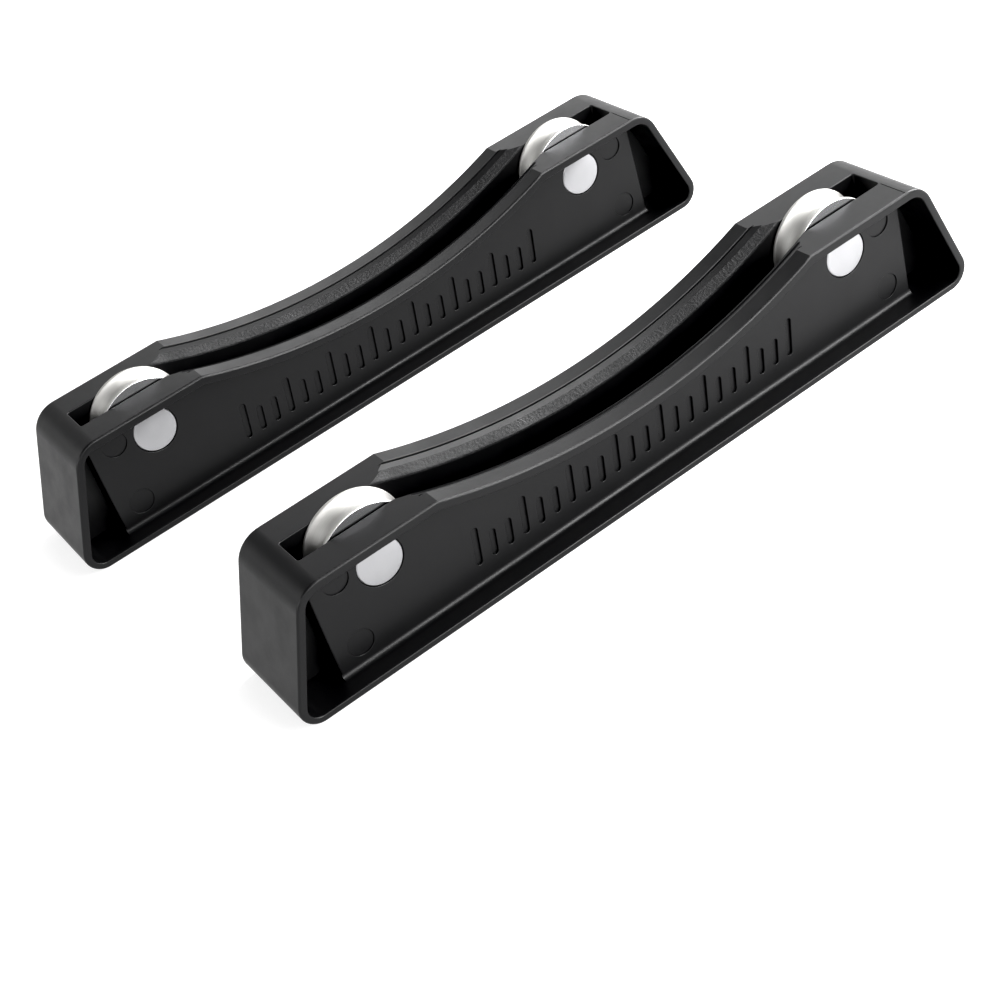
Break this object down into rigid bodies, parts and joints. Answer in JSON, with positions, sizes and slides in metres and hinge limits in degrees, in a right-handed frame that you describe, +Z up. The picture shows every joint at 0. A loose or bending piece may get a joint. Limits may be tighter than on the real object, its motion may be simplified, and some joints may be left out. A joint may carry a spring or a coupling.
{
  "type": "spool holder stand",
  "caption": "Pair of long low black rails with a hollow top, each holding two grooved ball-bearing wheels that a filament spool's rims roll on.",
  "frame": {"origin": "middle of the pair of rails, on the surface they stand on", "axes": "+X along the rails, +Y from the front rail to the rear rail, +Z up"},
  "size_m": [0.1652, 0.0936, 0.0286],
  "materials": {
    "rail_plastic": "satin injection-moulded black",
    "wheel_steel": "ground and polished",
    "bearing_steel": "ground",
    "ball_steel": "polished",
    "cage_steel": "pressed",
    "shield_steel": "pressed",
    "axle_metal": "turned, fine radial tool marks"
  },
  "bodies": {
    "front_rail": {"front_rail": "rail_plastic", "front_left_axle": "axle_metal", "front_left_inner_ring": "bearing_steel", "front_right_axle": "axle_metal", "front_right_inner_ring": "bearing_steel"},
    "rear_rail": {"rear_rail": "rail_plastic", "rear_left_axle": "axle_metal", "rear_left_inner_ring": "bearing_steel", "rear_right_axle": "axle_metal", "rear_right_inner_ring": "bearing_steel"},
    "front_left_wheel": {"front_left_wheel_ring": "wheel_steel", "front_left_shield_front": "shield_steel", "front_left_shield_back": "shield_steel"},
    "front_left_ball_set": {"front_left_balls": "ball_steel", "front_left_ball_cage": "cage_steel"},
    "front_right_wheel": {"front_right_wheel_ring": "wheel_steel", "front_right_shield_front": "shield_steel", "front_right_shield_back": "shield_steel"},
    "front_right_ball_set": {"front_right_balls": "ball_steel", "front_right_ball_cage": "cage_steel"},
    "rear_left_wheel": {"rear_left_wheel_ring": "wheel_steel", "rear_left_shield_front": "shield_steel", "rear_left_shield_back": "shield_steel"},
    "rear_left_ball_set": {"rear_left_balls": "ball_steel", "rear_left_ball_cage": "cage_steel"},
    "rear_right_wheel": {"rear_right_wheel_ring": "wheel_steel", "rear_right_shield_front": "shield_steel", "rear_right_shield_back": "shield_steel"},
    "rear_right_ball_set": {"rear_right_balls": "ball_steel", "rear_right_ball_cage": "cage_steel"}
  },
  "joints": [
    {"name": "rail_spacing", "type": "slide", "parent": "front_rail", "child": "rear_rail", "axis": [0, 1, 0], "range_m": [-0.042, 0.03]},
    {"name": "front_left_wheel_spin", "type": "hinge", "parent": "front_rail", "child": "front_left_wheel", "pos_m": [-0.04934, -0.03615, 0.01855], "axis": [0, 1, 0], "continuous": true},
    {"name": "front_left_ball_set_spin", "type": "hinge", "parent": "front_rail", "child": "front_left_ball_set", "pos_m": [-0.04934, -0.03615, 0.01855], "axis": [0, 1, 0], "continuous": true},
    {"name": "front_right_wheel_spin", "type": "hinge", "parent": "front_rail", "child": "front_right_wheel", "pos_m": [0.05794, -0.03615, 0.01855], "axis": [0, 1, 0], "continuous": true},
    {"name": "front_right_ball_set_spin", "type": "hinge", "parent": "front_rail", "child": "front_right_ball_set", "pos_m": [0.05794, -0.03615, 0.01855], "axis": [0, 1, 0], "continuous": true},
    {"name": "rear_left_wheel_spin", "type": "hinge", "parent": "rear_rail", "child": "rear_left_wheel", "pos_m": [-0.05794, 0.03615, 0.01855], "axis": [0, 1, 0], "continuous": true},
    {"name": "rear_left_ball_set_spin", "type": "hinge", "parent": "rear_rail", "child": "rear_left_ball_set", "pos_m": [-0.05794, 0.03615, 0.01855], "axis": [0, 1, 0], "continuous": true},
    {"name": "rear_right_wheel_spin", "type": "hinge", "parent": "rear_rail", "child": "rear_right_wheel", "pos_m": [0.04934, 0.03615, 0.01855], "axis": [0, 1, 0], "continuous": true},
    {"name": "rear_right_ball_set_spin", "type": "hinge", "parent": "rear_rail", "child": "rear_right_ball_set", "pos_m": [0.04934, 0.03615, 0.01855], "axis": [0, 1, 0], "continuous": true}
  ],
  "couplings": [
    {"joint": "front_left_ball_set_spin", "follows": "front_left_wheel_spin", "ratio": 0.5992},
    {"joint": "front_right_ball_set_spin", "follows": "front_right_wheel_spin", "ratio": 0.5992},
    {"joint": "rear_left_ball_set_spin", "follows": "rear_left_wheel_spin", "ratio": 0.5992},
    {"joint": "rear_right_ball_set_spin", "follows": "rear_right_wheel_spin", "ratio": 0.5992}
  ]
}
